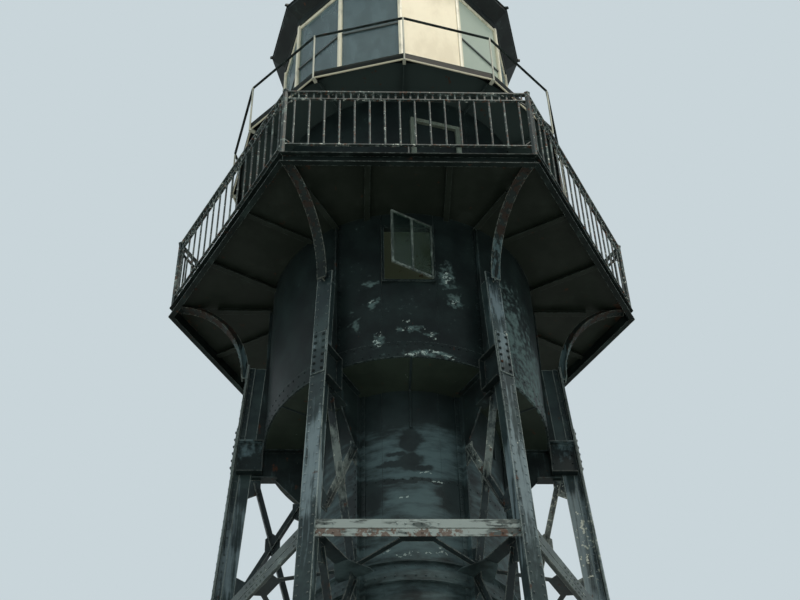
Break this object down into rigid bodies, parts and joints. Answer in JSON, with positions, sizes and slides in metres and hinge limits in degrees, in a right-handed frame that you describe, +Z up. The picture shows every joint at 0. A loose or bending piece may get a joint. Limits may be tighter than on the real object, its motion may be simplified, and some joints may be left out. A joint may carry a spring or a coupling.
{
  "type": "lighthouse",
  "caption": "Skeleton iron lighthouse with leaning braced legs, a round stair column, a hexagonal gallery on curved brackets and a glazed lantern under a pointed roof.",
  "frame": {"origin": "ground level on the tower's axis", "axes": "+Z up, -Y towards the gallery side over the open window, +X to the right of someone facing that side"},
  "size_m": [5.3784, 4.6626, 19.1601],
  "materials": {
    "black_paint": "satin",
    "cream_paint": "satin",
    "pane_glass": "gloss",
    "pale_boards": "matte"
  },
  "bodies": {
    "root": {"base_shoes": "black_paint", "box_brackets": "black_paint", "column_door": "black_paint", "column_door_frame": "black_paint", "column_hubs": "black_paint", "column_plates": "black_paint", "column_ribs": "black_paint", "deck_fascia": "black_paint", "deck_joists": "black_paint", "drum_curb": "black_paint", "drum_floors": "black_paint", "drum_lining": "pale_boards", "drum_posts": "black_paint", "drum_wall": "black_paint", "gallery_brackets": "black_paint", "gallery_door": "black_paint", "gallery_door_frame": "cream_paint", "gallery_posts": "black_paint", "gallery_rail_1": "black_paint", "gallery_rail_2": "black_paint", "gallery_rail_3": "black_paint", "gallery_rail_4": "black_paint", "gallery_rail_5": "black_paint", "gallery_rail_6": "black_paint", "lantern_bars": "cream_paint", "lantern_base": "black_paint", "lantern_deck": "black_paint", "lantern_eave": "black_paint", "lantern_frames": "cream_paint", "lantern_glass": "pane_glass", "lantern_posts": "cream_paint", "lantern_rail": "black_paint", "lantern_roof": "black_paint", "leg_1": "black_paint", "leg_2": "black_paint", "leg_3": "black_paint", "leg_4": "black_paint", "leg_5": "black_paint", "leg_6": "black_paint", "leg_splices": "black_paint", "main_deck": "black_paint", "plan_bracing": "black_paint", "radial_beams": "black_paint", "radial_bracing_1": "black_paint", "radial_bracing_2": "black_paint", "radial_bracing_3": "black_paint", "radial_bracing_4": "black_paint", "radial_bracing_5": "black_paint", "radial_bracing_6": "black_paint", "radial_struts": "black_paint", "side_struts": "black_paint", "ventilator": "black_paint", "window_frame": "black_paint", "window_glass": "pane_glass", "window_sash": "black_paint"}
  },
  "joints": []
}
